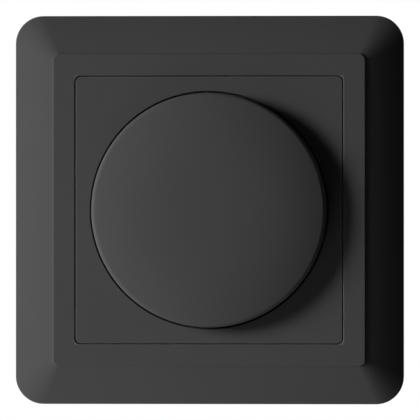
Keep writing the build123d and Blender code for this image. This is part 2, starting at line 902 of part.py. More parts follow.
def triac_case():
    """Moulded case round the triac's tab and leads."""
    x, y = triac_place
    z_top = -pad_thickness
    body = block(x, y, triac_width, triac_body, z_top - triac_height, z_top)
    body = chamfer(body.edges().group_by(Axis.Z)[0], triac_chamfer)
    return body - triac_tab()


def insulating_pad():
    """Thin sheet that keeps the live tab off the support plate."""
    x, y = triac_place
    length = triac_body + tab_length + 2 * pad_margin
    middle = y + tab_length / 2
    hole_x, hole_y = triac_hole()
    pad = block(x, middle, triac_width + 2 * pad_margin, length, -pad_thickness, 0)
    return pad - rod(hole_x, hole_y, -pad_thickness, 0, m3_radius + 2 * run_gap)


def triac_screw():
    x, y = triac_hole()
    z_tip = -(pad_thickness + tab_thickness + m3_nut_height) - lead_radius
    head = rod(x, y, support_thickness, support_thickness + m3_head, m3_head_radius)
    head = fillet(head.edges().group_by(Axis.Z)[-1], m3_head / 3)
    head -= cross_slot(x, y, m3_head_radius, support_thickness + m3_head, m3_head / 2)
    return head + rod(x, y, z_tip, support_thickness, m3_radius)


def triac_nut():
    x, y = triac_hole()
    z_top = -(pad_thickness + tab_thickness)
    section = RegularPolygon(m3_nut_across / 2, 6, major_radius=False) - Circle(m3_radius + run_gap)
    return Pos(x, y, 0) * slab(section, z_top - m3_nut_height, z_top)


# Parts on the board


def boxed_capacitor(place, size, leads):
    """Moulded block capacitor standing on the board."""
    x, y = place
    width, depth, height = size
    body = block(x, y, width, depth, z_board, z_board + height)
    body = fillet(body.edges().group_by(Axis.Z)[-1], min(width, depth) / 8)
    for lead_x, lead_y in leads:
        body += rod(lead_x, lead_y, z_board_rear - lead_tail, z_board, lead_radius)
    return body


def film_capacitor():
    return boxed_capacitor(film_place, film_size, pair(film_place, film_pitch, upright=True))


def timing_capacitor():
    return boxed_capacitor(timing_place, timing_size, pair(timing_place, timing_pitch))


def axial_part(place, radius, length, span, turn):
    """A round body lying on the board with two bent leads."""
    z = z_board + radius
    body = Pos(0, 0, z) * Rot(0, 90, 0) * Cylinder(radius, length)
    body = fillet(body.edges().filter_by(GeomType.CIRCLE), radius / 3)
    for side in (-1, 1):
        start = (side * (length / 2 - radius / 2), 0, z)
        bend = (side * span / 2, 0, z)
        end = (side * span / 2, 0, z_board_rear - lead_tail)
        body += bent_wire([start, bend, end], lead_radius, 2 * lead_radius)
    return Pos(*place, 0) * Rot(0, 0, turn) * body


def resistor_places():
    x, y = resistor_place
    return [(x + side * resistor_pitch, y) for side in (-1, 0, 1)]


def resistors():
    """Three resistors side by side under the triac."""
    group = Part()
    for place in resistor_places():
        group += axial_part(place, resistor_radius, resistor_length, resistor_span, 90)
    return group


def diac():
    return axial_part(diac_place, diac_radius, diac_length, diac_span, 0)


def trimmer_leads():
    x, y = trimmer_place
    reach = trimmer_size / 2 - 2 * lead_radius
    return [(x - reach, y - reach), (x + reach, y - reach), (x, y + reach)]


def trimmer():
    """Preset that sets the lowest light level, with an open dial seat on top."""
    x, y = trimmer_place
    z_top = z_board + trimmer_height
    body = block(x, y, trimmer_size, trimmer_size, z_board, z_top)
    seat = trimmer_dial + 4 * run_gap
    body -= rod(x, y, z_top - trimmer_dial_height - 2 * run_gap, z_top, seat)
    for lead_x, lead_y in trimmer_leads():
        body += rod(lead_x, lead_y, z_board_rear - lead_tail, z_board, lead_radius)
    return body


def trimmer_spindle():
    """Dial of the preset with a long stem that ends in the support plate's hole."""
    x, y = trimmer_place
    z_low = z_board + trimmer_height - trimmer_dial_height
    z_top = support_thickness - 2 * run_gap
    body = rod(x, y, z_low, z_low + trimmer_dial_height, trimmer_dial) + rod(x, y, z_low, z_top, trimmer_stem)
    return body - block(x, y, 3 * trimmer_stem, trimmer_stem / 3, z_top - trimmer_stem / 2, z_top)


# Fuse


def z_fuse():
    return z_board + fuse_lift + fuse_cap_radius


def along_x(radius, length, x=0.0):
    """A rod along X at the fuse's place."""
    return Pos(x, fuse_place, z_fuse()) * Rot(0, 90, 0) * Cylinder(radius, length)


def cap_place():
    return (fuse_length - fuse_cap_length) / 2


def fuse_glass():
    length = fuse_length - 2 * fuse_cap_bottom
    return along_x(fuse_radius - run_gap, length) - along_x(fuse_radius - fuse_glass_wall, length)


def fuse_caps():
    """Two nickel-plated end caps."""
    caps = Part()
    for side in (-1, 1):
        cap = along_x(fuse_cap_radius, fuse_cap_length, side * cap_place())
        room = along_x(fuse_radius, fuse_cap_length, side * (cap_place() - fuse_cap_bottom))
        caps += cap - room
    return caps


def fuse_wire():
    return along_x(fuse_wire_radius, fuse_length - 2 * fuse_cap_bottom)


def clip_pegs():
    return [(side * cap_place(), fuse_place) for side in (-1, 1)]


def fuse_clips():
    """Two spring clips that hold the caps, each with a peg through the board."""
    clips = Part()
    reach = fuse_cap_radius + run_gap
    for x, y in clip_pegs():
        outer = reach + fuse_clip_wall
        section = Circle(outer) + Pos(0, -outer / 2) * Rectangle(2 * outer, outer)
        section -= Circle(reach)
        section -= Pos(0, fuse_clip_rise + outer) * Rectangle(2 * (reach - fuse_clip_lip), 2 * outer)
        section &= Pos(0, outer / 2 - fuse_lift - fuse_cap_radius + outer / 2) * Rectangle(3 * outer, 2 * outer)
        body = extrude(Plane.YZ * section, fuse_clip_width / 2, both=True)
        clips += Pos(x, y, z_fuse()) * body
        clips += rod(x, y, z_board_rear - lead_tail, z_board + fuse_lift / 2, lead_radius)
    return clips


# Choke


def z_choke():
    """Height of the standing ring's middle, clear of the board by one wire."""
    return z_board + core_outer + winding_wire + 4 * run_gap


def choke_leads():
    reach = core_inner
    return [(side * reach, choke_place) for side in (-1, 1)]


def choke_core():
    """Iron-powder ring standing on the board."""
    body = slab(Circle(core_outer) - Circle(core_inner), -core_width / 2, core_width / 2)
    return Pos(0, choke_place, z_choke()) * Rot(90, 0, 0) * body


def choke_winding():
    """Separate turns of enamelled wire round the ring, with the two ends into the board."""
    radial = core_outer - core_inner
    gap = winding_wire / 2 + run_gap
    middle = (core_outer + core_inner) / 2
    outer = Rectangle(radial + 2 * (gap + winding_wire / 2), core_width + 2 * (gap + winding_wire / 2))
    inner = Rectangle(radial + 2 * (gap - winding_wire / 2), core_width + 2 * (gap - winding_wire / 2))
    turn = extrude(Plane.XZ * (outer - inner), winding_wire / 2, both=True)
    turn = chamfer(turn.edges().filter_by(GeomType.LINE).filter_by(lambda e: e.length > radial / 2), winding_wire / 5)
    turns = Part()
    for number in range(winding_turns):
        angle = 90 + winding_arc * (number / (winding_turns - 1) - 0.5)
        turns += Rot(0, 0, angle) * Pos(middle, 0, 0) * turn
    winding = Pos(0, choke_place, z_choke()) * Rot(90, 0, 0) * turns
    for x, y in choke_leads():
        winding += rod(x, y, z_board_rear, z_choke() - core_outer, lead_radius)
    return winding


pieces = {
    "frame": cover_frame,
    "centre_plate": centre_plate,
    "knob": knob,
    "grip_ring": grip_ring,
    "spindle": spindle,
    "spindle_clip": spindle_clip,
    "bush": bush,
    "lock_washer": lock_washer,
    "lock_nut": lock_nut,
    "ring_nut": ring_nut,
    "support_plate": support_plate,
    "pot_can": pot_can,
    "rotor": rotor,
    "wiper": wiper,
    "carbon_track": carbon_track,
    "track_wafer": track_wafer,
    "pot_pins": pot_pins,
    "switch_base": switch_base,
    "switch_plunger": switch_plunger,
    "contact_bridge": contact_bridge,
    "switch_contacts": switch_contacts,
    "plunger_spring": plunger_spring,
    "housing": housing,
    "housing_screws": housing_screws,
    "circuit_board": circuit_board,
    "terminal_block": terminal_block,
    "clamp_cages": clamp_cages,
    "terminal_screws": terminal_screws,
    "triac_case": triac_case,
    "triac_tab": triac_tab,
    "insulating_pad": insulating_pad,
    "triac_screw": triac_screw,
    "triac_nut": triac_nut,
    "film_capacitor": film_capacitor,
    "timing_capacitor": timing_capacitor,
    "resistors": resistors,
    "diac": diac,
    "trimmer": trimmer,
    "trimmer_spindle": trimmer_spindle,
    "fuse_glass": fuse_glass,
    "fuse_caps": fuse_caps,
    "fuse_wire": fuse_wire,
    "fuse_clips": fuse_clips,
    "choke_core": choke_core,
    "choke_winding": choke_winding,
}

os.makedirs("parts", exist_ok=True)
for name, make in pieces.items():
    export_step(Rot(90, 0, 0) * make(), f"parts/{name}.step")
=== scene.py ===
import json
import math

import bpy
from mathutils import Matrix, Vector


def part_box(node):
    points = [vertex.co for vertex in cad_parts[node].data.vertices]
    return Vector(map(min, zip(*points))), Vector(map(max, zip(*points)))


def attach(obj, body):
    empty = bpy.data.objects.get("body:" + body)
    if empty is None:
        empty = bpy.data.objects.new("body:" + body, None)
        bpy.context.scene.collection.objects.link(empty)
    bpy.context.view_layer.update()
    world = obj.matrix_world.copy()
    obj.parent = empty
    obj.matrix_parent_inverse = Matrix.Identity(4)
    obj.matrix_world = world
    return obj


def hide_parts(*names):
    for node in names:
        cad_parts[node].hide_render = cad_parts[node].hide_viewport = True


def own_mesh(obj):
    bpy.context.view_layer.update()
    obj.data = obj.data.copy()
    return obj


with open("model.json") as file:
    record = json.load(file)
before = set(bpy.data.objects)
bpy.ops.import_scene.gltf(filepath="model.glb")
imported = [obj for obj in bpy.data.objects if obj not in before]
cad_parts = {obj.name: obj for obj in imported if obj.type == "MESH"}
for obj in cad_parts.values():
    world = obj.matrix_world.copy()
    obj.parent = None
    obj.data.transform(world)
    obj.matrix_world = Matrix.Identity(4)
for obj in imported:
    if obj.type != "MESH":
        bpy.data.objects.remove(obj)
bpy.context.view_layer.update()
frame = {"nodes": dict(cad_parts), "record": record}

# Looks of a flush wall dimmer: a dark matt cover frame, centre plate and knob in front, and the
# insert behind them. Lengths are in metres, and every pattern reads Object coordinates.

millimetre = 0.001
full_turn = 2 * math.pi
quarter_turn = math.pi / 2


def middle(node):
    low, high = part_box(node)
    return (low + high) / 2


# Places that the patterns and the extra pieces follow, taken from the solids
board_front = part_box("circuit_board")[0].y
board_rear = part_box("circuit_board")[1].y
housing_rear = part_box("housing")[1].y
plate_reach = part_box("centre_plate")[1].x
knob_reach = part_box("knob")[1].x
screw_head_radius = 2.7 * millimetre
boss_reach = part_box("housing_screws")[1].x - screw_head_radius
triac_axis = middle("triac_screw")

# Widths of the soft steps between two surfaces of one piece
sharp = 0.05 * millimetre
blurred = 0.5 * millimetre

# A Mix node's colour sockets have numbers, since its other sockets share their names
mix_first = 6
mix_second = 7
mix_result = 2


def join(socket, value):
    """Links a socket to another one, or sets its value."""
    if isinstance(value, Socket):
        socket.id_data.links.new(value.link, socket)
    else:
        socket.default_value = value


def add_node(tree, kind, settings, values, output=0):
    """Adds a node, sets it up, and joins or sets its inputs by name or number."""
    added = tree.nodes.new(kind)
    for name, setting in settings.items():
        setattr(added, name, setting)
    for key, value in values.items():
        join(added.inputs[key], value)
    return Socket(added.outputs[output])


class Socket:
    """A value in a node tree. Arithmetic on it adds the Math nodes."""

    def __init__(self, link):
        self.link = link
        self.tree = link.id_data

    def step(self, operation, *values):
        return add_node(self.tree, "ShaderNodeMath", {"operation": operation}, dict(enumerate(values)))

    def __add__(self, other):
        return self.step("ADD", self, other)

    def __sub__(self, other):
        return self.step("SUBTRACT", self, other)

    def __rsub__(self, other):
        return self.step("SUBTRACT", other, self)

    def __mul__(self, other):
        return self.step("MULTIPLY", self, other)

    __radd__ = __add__
    __rmul__ = __mul__

    def sine(self):
        return self.step("SINE", self)

    def root(self):
        return self.step("SQRT", self)

    def magnitude(self):
        return self.step("ABSOLUTE", self)

    def larger(self, other):
        return self.step("MAXIMUM", self, other)

    def ramp(self, low, high, to_low=0.0, to_high=1.0, interpolation="LINEAR"):
        """Maps a range to another, and stays at its ends outside it."""
        values = {"Value": self, "From Min": low, "From Max": high, "To Min": to_low, "To Max": to_high}
        return add_node(self.tree, "ShaderNodeMapRange", {"interpolation_type": interpolation}, values)

    def above(self, edge, blur=sharp):
        """0 below the edge and 1 above it, with a soft step."""
        return self.ramp(edge - blur, edge + blur, interpolation="SMOOTHSTEP")

    def between(self, low, high):
        """1 between two edges and 0 outside them."""
        return self.above(low) * (1 - self.above(high))

    def wave(self, length):
        """A sine, from -1 to 1, that repeats over a length."""
        return (self * (full_turn / length)).sine()

    def as_height(self):
        """A sine made a height from 0 to 1."""
        return self.ramp(-1.0, 1.0)


def distance(x, z):
    """Distance from the line along Y where x and z are 0."""
    return (x * x + z * z).root()


def bearing(x, z):
    """Angle round that line, in radians."""
    return z.step("ARCTAN2", z, x)


def opaque(colour):
    return (*colour, 1.0)


def tint(colour, factor):
    return tuple(channel * factor for channel in colour)


class Finish:
    """A material with one shader, and the patterns that vary it over the surface."""

    def __init__(self, name, colour, roughness, metallic=0.0, **constants):
        self.name = name
        self.material = bpy.data.materials.new(name)
        self.material.use_nodes = True
        self.tree = self.material.node_tree
        self.shader = self.tree.nodes["Principled BSDF"]
        self.colour = opaque(colour)
        self.roughness = roughness
        self.normal = None
        self.feed("Base Color", self.colour)
        self.feed("Roughness", roughness)
        self.feed("Metallic", metallic)
        for socket, value in constants.items():
            self.feed(socket.replace("_", " "), value)
        self.place = self.node("ShaderNodeTexCoord", {}, {}, "Object")

    def node(self, kind, settings, values, output=0):
        return add_node(self.tree, kind, settings, values, output)

    def feed(self, socket, value):
        """Sets or joins one of the shader's own sockets."""
        join(self.shader.inputs[socket], value)

    def axis(self, letter):
        return self.node("ShaderNodeSeparateXYZ", {}, {"Vector": self.place}, letter)

    def stretched(self, x=1.0, y=1.0, z=1.0):
        """Object coordinates, pulled out along an axis by a factor under 1."""
        return self.node("ShaderNodeVectorMath", {"operation": "MULTIPLY"}, {0: self.place, 1: (x, y, z)})

    def noise(self, grain, detail=3.0, rough=0.5, place=None):
        """Soft random pattern whose grains are about this long."""
        values = {"Vector": place or self.place, "Scale": 1 / grain, "Detail": detail, "Roughness": rough}
        return self.node("ShaderNodeTexNoise", {}, values)

    def cells(self, size, place=None, output="Distance", **settings):
        """Random cells about this wide: how far their points are, or their colours."""
        values = {"Vector": place or self.place, "Scale": 1 / size}
        return self.node("ShaderNodeTexVoronoi", settings, values, output)

    def cell_value(self, size):
        """One random number for each cell."""
        colours = self.cells(size, output="Color")
        return self.node("ShaderNodeSeparateXYZ", {}, {"Vector": colours}, "X")

    def weave(self, pitch):
        """Square weave over the XZ plane, as a height from 0 to 1."""
        return (self.axis("X").wave(pitch) * self.axis("Z").wave(pitch)).as_height()

    def paint(self, mask, colour, amount=1.0):
        """Lays another colour over what is there, by an amount where the mask is 1."""
        factor = mask * amount if amount < 1 else mask
        values = {"Factor": factor, mix_first: self.colour, mix_second: opaque(colour)}
        self.colour = self.node("ShaderNodeMix", {"data_type": "RGBA"}, values, mix_result)
        self.feed("Base Color", self.colour)

    def mottle(self, pattern, colour, amount, low=0.4, high=0.7):
        """Lays a colour over the high parts of a pattern."""
        self.paint(pattern.ramp(low, high), colour, amount)

    def sheen(self, mask, roughness):
        """Changes the roughness where the mask is 1."""
        self.roughness = mask * roughness + (1 - mask) * self.roughness
        self.feed("Roughness", self.roughness)

    def relief(self, height, depth, strength):
        """Raises the surface by a height from 0 to 1 times a depth, and returns the finish."""
        values = {"Strength": strength, "Distance": depth, "Height": height}
        if self.normal:
            values["Normal"] = self.normal
        self.normal = self.node("ShaderNodeBump", {}, values)
        self.feed("Normal", self.normal)
        return self


# Plastics


def spark_matt(name, colour, roughness, **constants):
    """Moulding from a spark-eroded tool: an even fine grain, faintly cloudy."""
    finish = Finish(name, colour, roughness, **constants)
    cloud = finish.noise(9 * millimetre)
    speck = finish.noise(0.16 * millimetre, rough=0.6)
    finish.mottle(cloud, tint(colour, 1.25), amount=0.12, low=0.35)
    finish.mottle(speck, tint(colour, 0.8), amount=0.10, low=0.45, high=0.75)
    uneven = cloud.ramp(low=0.3, high=0.7, to_high=0.6)
    finish.sheen(uneven, roughness + 0.05)
    return finish.relief(speck, depth=0.006 * millimetre, strength=0.6)


def cover_plastic(name, colour, edge):
    """Deep matt plastic with hardly any gloss, painted a little paler in a band of painted light.

    edge gives that band of painted light, from 0 to 1, on the finish.
    """
    finish = spark_matt(name, colour, roughness=0.7, Specular_IOR_Level=0.02)
    patchy = finish.noise(4 * millimetre).ramp(low=0.3, high=0.7, to_low=0.6)
    # Painted highlight and painted bounce light: paler paint in that band, broken up by a noise.
    finish.paint(edge(finish) * patchy, tint(colour, 1.8))
    return finish


def joint_bounce_and_highlight(finish):
    """Band on both sides of the square joint between the frame and the centre plate, for painted bounce
    light in the gap and a painted highlight on its edges.
    """
    inside = 0.1 * millimetre
    outside = 0.3 * millimetre
    square = finish.axis("X").magnitude().larger(finish.axis("Z").magnitude())
    return square.between(plate_reach - inside, plate_reach + outside)


def knob_rim_highlight(finish):
    """Painted highlight on the outer band of the knob's rim, strongest at the left and right sides and none
    at the top and bottom.
    """
    band = 0.7 * millimetre
    lit_from = 0.4 * knob_reach
    # Strength of the painted highlight on the rim.
    wear_and_highlight = 0.6
    x = finish.axis("X")
    reach = distance(x, finish.axis("Z"))
    lit_sides = x.magnitude().ramp(lit_from, knob_reach)
    return reach.above(knob_reach - band, blurred) * lit_sides * wear_and_highlight


def plain_moulding(name, colour):
    """Smooth technical moulding with flow clouds and a slight unevenness."""
    smooth = 0.42
    finish = Finish(name, colour, smooth)
    flow = finish.noise(6 * millimetre, detail=4.0, rough=0.55, place=finish.stretched(y=0.35))
    finish.mottle(flow, tint(colour, 0.86), amount=0.25)
    finish.sheen(flow.ramp(low=0.35, high=0.65), smooth + 0.1)
    fine = finish.noise(0.5 * millimetre, detail=2.0)
    return finish.relief(fine, depth=0.008 * millimetre, strength=0.5)


def thermoset(name, colour):
    """Pressed thermoset housing: speckled by its filler, with round marks where it was ejected."""
    finish = Finish(name, colour, roughness=0.48)
    filler = finish.cell_value(0.35 * millimetre)
    cloud = finish.noise(12 * millimetre)
    finish.mottle(filler, tint(colour, 0.62), amount=0.35, low=0.86, high=0.95)
    finish.mottle(cloud, tint(colour, 0.9), amount=0.3)
    finish.sheen(cloud.ramp(low=0.35, high=0.65), roughness=0.56)
    grain = finish.noise(0.25 * millimetre, rough=0.6)
    finish.relief(grain, depth=0.012 * millimetre, strength=0.6)
    pin_x = 15 * millimetre
    pin_z = 9 * millimetre
    pin_radius = 2 * millimetre
    edge_width = 0.12 * millimetre
    skin = 0.3 * millimetre
    on_rear = finish.axis("Y").above(housing_rear - skin)
    from_pin = distance(finish.axis("X").magnitude() - pin_x, finish.axis("Z").magnitude() - pin_z)
    mark_edge = from_pin.between(pin_radius - edge_width, pin_radius + edge_width) * on_rear
    finish.paint(mark_edge, tint(colour, 0.6), amount=0.5)
    return finish.relief(1 - from_pin.above(pin_radius) * on_rear, depth=0.08 * millimetre, strength=0.8)


# Metals


def rolled_sheet(name, colour):
    """Zinc plated sheet: faint rolling lines, cloudy passivation and pale spangles."""
    smooth = 0.34
    straw = (0.55, 0.53, 0.44)
    bluish = (0.50, 0.54, 0.60)
    finish = Finish(name, colour, smooth, metallic=1.0)
    rolling = finish.noise(0.18 * millimetre, rough=0.6, place=finish.stretched(x=0.02))
    cloud = finish.noise(11 * millimetre, detail=4.0, rough=0.6)
    spangle = finish.cell_value(3.2 * millimetre)
    finish.mottle(cloud, straw, amount=0.45, low=0.38, high=0.68)
    finish.mottle(cloud, bluish, amount=0.3, low=0.62, high=0.42)
    finish.paint(spangle, tint(colour, 1.25), amount=0.18)
    rolled_share = 0.6
    uneven = rolling.ramp(low=0.35, high=0.65) * rolled_share + spangle * (1 - rolled_share)
    finish.sheen(uneven, smooth + 0.16)
    return finish.relief(rolling, depth=0.006 * millimetre, strength=0.5)


def plated(name, colour, smooth=0.28):
    """Small plated or tinned pressing, slightly cloudy."""
    finish = Finish(name, colour, smooth, metallic=1.0)
    cloud = finish.noise(1.6 * millimetre, detail=4.0, rough=0.6)
    finish.mottle(cloud, tint(colour, 0.72), amount=0.4, low=0.35)
    finish.sheen(cloud.ramp(low=0.3, high=0.7), smooth + 0.15)
    fine = finish.noise(0.12 * millimetre, detail=2.0)
    return finish.relief(fine, depth=0.004 * millimetre, strength=0.5)


def turned(name, colour):
    """Turned on the Y axis: fine tool marks run round it."""
    smooth = 0.22
    feed = 0.08 * millimetre
    finish = Finish(name, colour, smooth, metallic=1.0)
    along = distance(finish.axis("X"), finish.axis("Z")) + finish.axis("Y")
    marks = along.wave(feed).as_height()
    cloud = finish.noise(0.8 * millimetre)
    finish.mottle(cloud, tint(colour, 0.75), amount=0.35, low=0.35)
    marks_share = 0.5
    finish.sheen(marks * marks_share + cloud * (1 - marks_share), smooth + 0.16)
    return finish.relief(marks, depth=0.004 * millimetre, strength=0.7)


def drawn_wire(name, colour):
    """Wire with faint streaks from its drawing."""
    smooth = 0.3
    finish = Finish(name, colour, smooth, metallic=1.0)
    streak = finish.noise(0.15 * millimetre, rough=0.6, place=finish.stretched(y=0.2))
    finish.mottle(streak, tint(colour, 0.7), amount=0.3)
    finish.sheen(streak, smooth + 0.15)
    return finish.relief(streak, depth=0.004 * millimetre, strength=0.5)


def threaded(finish, x, z, pitch, shank):
    """Helical thread along Y, round the line where x and z are 0, where shank is 1, with painted shade in
    its grooves.
    """
    groove_shade = (0.2, 0.19, 0.17)
    climb = bearing(x, z) * (pitch / full_turn)
    ridge = (finish.axis("Y") + climb).wave(pitch).as_height()
    # Painted shade: the thread's grooves are painted darker.
    finish.paint((1 - ridge) * shank, groove_shade, amount=0.55)
    return finish.relief(ridge * shank, depth=0.25 * millimetre, strength=0.9)


def cover_screws():
    """Pan-head screws behind the covers: four at the bosses, and the triac's nearer the middle."""
    finish = plated("screw_steel", (0.64, 0.64, 0.61))
    x = finish.axis("X")
    z = finish.axis("Z")
    at_boss = z.magnitude().above(boss_reach - 2 * screw_head_radius)
    across = at_boss * (x.magnitude() - boss_reach) + (1 - at_boss) * (x - triac_axis.x)
    up = at_boss * (z.magnitude() - boss_reach) + (1 - at_boss) * (z - triac_axis.z)
    return threaded(finish, across, up, pitch=0.8 * millimetre, shank=finish.axis("Y").above(0.0))


def threaded_bush():
    """Brass bush, threaded in front of its flange."""
    thread_root = 4.5 * millimetre
    finish = turned("bush_brass", (0.76, 0.56, 0.25))
    x = finish.axis("X")
    z = finish.axis("Z")
    neck = (1 - finish.axis("Y").above(0.0)) * distance(x, z).above(thread_root)
    return threaded(finish, x, z, pitch=0.75 * millimetre, shank=neck)


# The board and what it carries


def circuit_laminate():
    """Single-sided board: plain woven laminate in front, masked copper tracks behind."""
    laminate = (0.30, 0.34, 0.16)
    mask_green = (0.02, 0.13, 0.06)
    masked_copper = (0.06, 0.27, 0.10)
    track_spacing = 6.5 * millimetre
    track_gap = 0.5 * millimetre
    mask_reach = 0.1 * millimetre
    finish = Finish("board_laminate", laminate, roughness=0.42)
    weave = finish.weave(0.5 * millimetre)
    finish.paint(weave, tint(laminate, 0.8), amount=0.35)
    behind = finish.axis("Y").above(board_rear - mask_reach)
    finish.paint(behind, mask_green)
    flat = finish.stretched(y=0.0)
    nearest, second = (
        finish.cells(track_spacing, flat, feature=feature, distance="CHEBYCHEV") for feature in ("F1", "F2")
    )
    tracks = ((second - nearest) * track_spacing).above(track_gap) * behind
    finish.paint(tracks, masked_copper, amount=0.85)
    finish.sheen(behind, roughness=0.28)
    finish.relief(weave, depth=0.01 * millimetre, strength=0.5)
    return finish.relief(tracks, depth=0.04 * millimetre, strength=0.8)


def leaded(finish, mask):
    """Tinned leads where the mask is 1, on a part whose case has the finish."""
    tin = (0.62, 0.61, 0.58)
    finish.paint(mask, tin)
    finish.sheen(mask, roughness=0.3)
    finish.feed("Metallic", mask)
    return finish


def upright_leads(finish):
    """1 where the leads of a case that stands on the board begin."""
    return finish.axis("Y").above(board_front + sharp)


def block_capacitor(name, colour):
    """Glossy moulded case on tinned leads."""
    finish = Finish(name, colour, roughness=0.2)
    cloud = finish.noise(3 * millimetre)
    finish.mottle(cloud, tint(colour, 0.8), amount=0.25)
    finish.sheen(cloud.ramp(low=0.35, high=0.65), roughness=0.3)
    fine = finish.noise(0.3 * millimetre, detail=2.0)
    finish.relief(fine, depth=0.005 * millimetre, strength=0.5)
    return leaded(finish, upright_leads(finish))


def banded_resistor():
    """Lacquered body with coloured bands, on tinned leads."""
    beige = (0.55, 0.42, 0.26)
    brown = (0.35, 0.12, 0.03)
    black = (0.02, 0.02, 0.02)
    orange = (0.75, 0.22, 0.02)
    gold = (0.55, 0.38, 0.10)
    half_band = 0.3 * millimetre
    half_body = 3.15 * millimetre
    finish = Finish("resistor_lacquer", beige, roughness=0.3)
    along = finish.axis("Z") - middle("resistors").z
    cloud = finish.noise(0.8 * millimetre)
    finish.mottle(cloud, (0.42, 0.30, 0.18), amount=0.3)
    for place, colour in ((-2.2, brown), (-1.0, black), (0.0, orange), (1.9, gold)):
        from_band = (along - place * millimetre).magnitude()
        finish.paint(1 - from_band.above(half_band), colour)
    finish.sheen(cloud.ramp(low=0.35, high=0.65), roughness=0.4)
    return leaded(finish, along.magnitude().above(half_body))


def lacquered_diac():
    """Small blue lacquered body on tinned leads."""
    half_body = 2.05 * millimetre
    finish = Finish("diac_case", (0.04, 0.10, 0.34), roughness=0.22)
    cloud = finish.noise(0.6 * millimetre)
    finish.mottle(cloud, (0.02, 0.05, 0.2), amount=0.4)
    finish.sheen(cloud, roughness=0.34)
    across = finish.axis("X") - middle("diac").x
    return leaded(finish, across.magnitude().above(half_body))


def preset_case():
    """Blue moulded case of the preset, on tinned leads."""
    finish = Finish("trimmer_plastic", (0.03, 0.09, 0.40), roughness=0.3)
    cloud = finish.noise(1.5 * millimetre)
    finish.mottle(cloud, (0.02, 0.06, 0.27), amount=0.3)
    finish.sheen(cloud, roughness=0.4)
    return leaded(finish, upright_leads(finish))


def clear_tube():
    """Drawn glass of the fuse."""
    finish = Finish("fuse_tube", (0.86, 0.90, 0.88), roughness=0.05, Alpha=0.35)
    drawn = finish.noise(0.5 * millimetre, detail=2.0, place=finish.stretched(x=0.1))
    finish.mottle(drawn, (0.70, 0.78, 0.76), amount=0.4, low=0.45)
    finish.sheen(drawn.ramp(low=0.4, high=0.7), roughness=0.1)
    return finish.relief(drawn, depth=0.003 * millimetre, strength=0.5)


def painted_core():
    """Iron powder ring under a thick yellow paint."""
    finish = Finish("core_paint", (0.50, 0.44, 0.12), roughness=0.45)
    cloud = finish.noise(1.2 * millimetre)
    finish.mottle(cloud, (0.36, 0.30, 0.07), amount=0.5)
    finish.sheen(cloud, roughness=0.55)
    powder = finish.noise(0.3 * millimetre)
    return finish.relief(powder, depth=0.03 * millimetre, strength=0.7)


def enamelled_copper():
    """Winding wire under a clear enamel."""
    copper = (0.62, 0.24, 0.09)
    finish = Finish("winding_copper", copper, 0.22, metallic=1.0, Coat_Weight=0.6, Coat_Roughness=0.1)
    cloud = finish.noise(0.9 * millimetre)
    finish.mottle(cloud, (0.36, 0.12, 0.04), amount=0.5, low=0.35)
    finish.sheen(cloud, roughness=0.34)
    return finish.relief(cloud, depth=0.01 * millimetre, strength=0.5)


# The potentiometer and the sheet under the triac


def phenolic_wafer():
    """Brown paper laminate with its fibres along X."""
    finish = Finish("phenolic", (0.27, 0.15, 0.07), roughness=0.5)
    fibre = finish.noise(0.4 * millimetre, detail=4.0, rough=0.7, place=finish.stretched(x=0.2))
    finish.mottle(fibre, (0.17, 0.09, 0.04), amount=0.6)
    finish.sheen(fibre, roughness=0.62)
    return finish.relief(fibre, depth=0.01 * millimetre, strength=0.6)


def carbon():
    """Printed carbon track, a little worn by the wiper."""
    finish = Finish("carbon_film", (0.022, 0.022, 0.024), roughness=0.4)
    wear_and_highlight = finish.noise(0.9 * millimetre)
    finish.mottle(wear_and_highlight, (0.05, 0.05, 0.05), amount=0.5, low=0.45)
    finish.sheen(wear_and_highlight, roughness=0.55)
    grain = finish.noise(0.06 * millimetre)
    return finish.relief(grain, depth=0.004 * millimetre, strength=0.6)


def silicone_pad():
    """Soft grey sheet on a woven backing."""
    finish = Finish("pad_sheet", (0.48, 0.50, 0.52), roughness=0.7)
    weave = finish.weave(0.35 * millimetre)
    finish.paint(weave, (0.36, 0.38, 0.40), amount=0.25)
    finish.sheen(weave, roughness=0.8)
    return finish.relief(weave, depth=0.02 * millimetre, strength=0.7)


